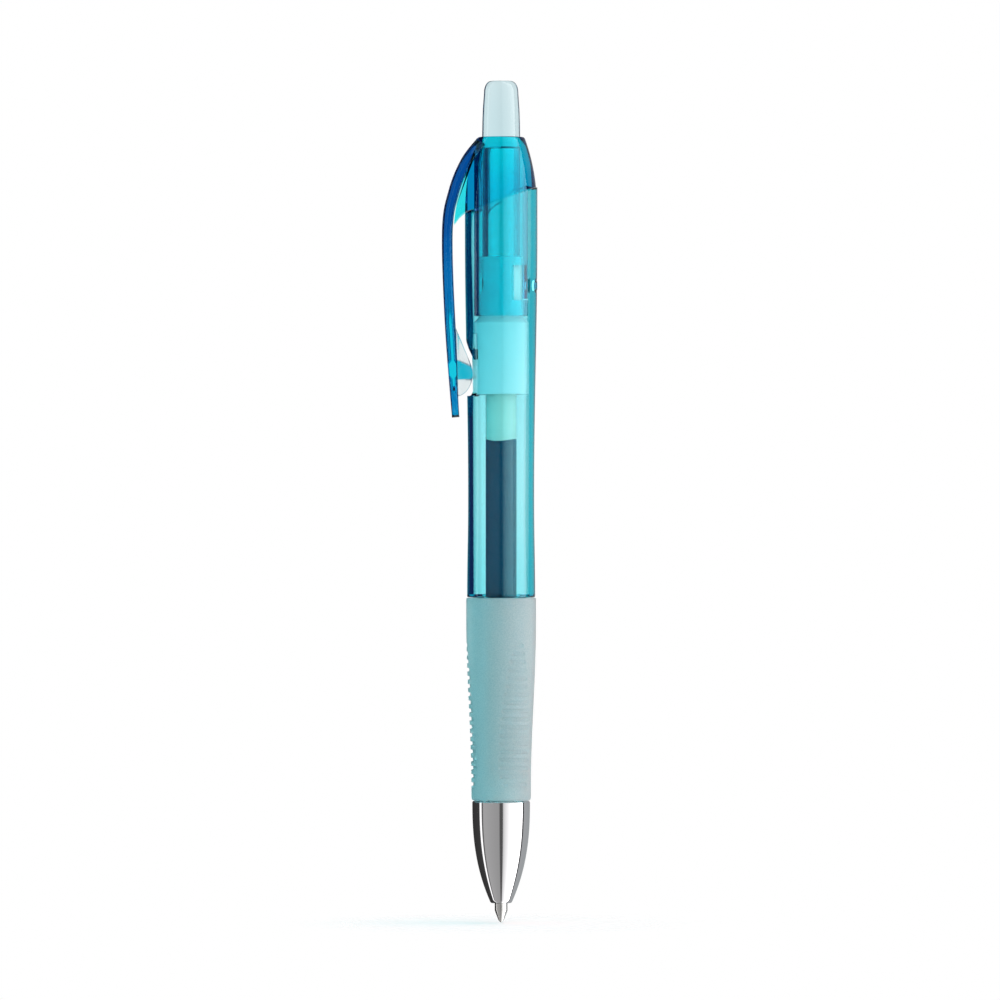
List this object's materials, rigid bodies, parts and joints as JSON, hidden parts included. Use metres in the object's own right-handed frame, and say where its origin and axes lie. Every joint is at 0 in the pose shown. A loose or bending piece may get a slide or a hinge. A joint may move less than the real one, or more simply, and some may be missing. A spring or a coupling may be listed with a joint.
{
  "type": "gel pen",
  "caption": "Retractable gel pen with a clear tinted barrel, rubber grip, bright nose cone, pocket clip and push button, in the writing position.",
  "frame": {"origin": "bottom centre of the box of the whole pen, at the height of the ball's lowest point; the pen's own axis is the vertical line at x = 1.98 mm", "axes": "+Z along the pen from the point to the push button, -X towards the pocket clip"},
  "size_m": [0.0166, 0.0126, 0.1472],
  "materials": {
    "clear_plastic": "clear, polished, with a faint cool tone",
    "blue_plastic": "transparent saturated blue, polished",
    "tinted_plastic": "transparent light cyan, polished",
    "milky_plastic": "translucent milky white",
    "refill_plastic": "clear refill tube",
    "mint_grease": "translucent mint green grease",
    "gel_ink": "dark blue-black gel ink",
    "tip_metal": "turned nickel silver",
    "spring_wire": "drawn steel wire",
    "grip_rubber": "frosted translucent rubber, pale blue-green",
    "nose_chrome": "bright metallised, slightly satin"
  },
  "bodies": {
    "root": {"barrel": "tinted_plastic", "cap": "blue_plastic", "cam_housing": "milky_plastic", "grip": "grip_rubber", "nose_cone": "nose_chrome", "return_spring": "spring_wire"},
    "clip": {"clip": "blue_plastic"},
    "refill": {"refill_tube": "refill_plastic", "grease_follower": "mint_grease", "ink_column": "gel_ink", "tip_holder": "milky_plastic", "writing_tip": "tip_metal"},
    "button": {"push_button": "clear_plastic"},
    "rotor": {"cam_rotor": "milky_plastic"},
    "ball": {"writing_ball": "tip_metal"}
  },
  "joints": [
    {"name": "refill_slide", "type": "slide", "parent": "root", "child": "refill", "axis": [0, 0, 1], "range_m": [-0.0008, 0.0055], "deforming": ["return_spring"]},
    {"name": "button_slide", "type": "slide", "parent": "root", "child": "button", "axis": [0, 0, 1], "range_m": [-0.0009, 0.0056]},
    {"name": "rotor_turn", "type": "hinge", "parent": "refill", "child": "rotor", "pos_m": [0.00198, 0, 0.0945], "axis": [0, 0, 1], "range_deg": [-6.6, 45.1]},
    {"name": "clip_flex", "type": "hinge", "parent": "root", "child": "clip", "pos_m": [-0.00735, 0, 0.1186], "axis": [0, 1, 0], "range_deg": [0, 5], "stiffness_Nm_per_rad": 1.2},
    {"name": "ball_roll", "type": "hinge", "parent": "refill", "child": "ball", "pos_m": [0.00198, 0, 0.00035], "axis": [0, 1, 0], "continuous": true}
  ],
  "couplings": [
    {"joint": "button_slide", "follows": "refill_slide", "ratio": 1},
    {"joint": "rotor_turn", "follows": "refill_slide", "rad_per_m": 142.8}
  ]
}
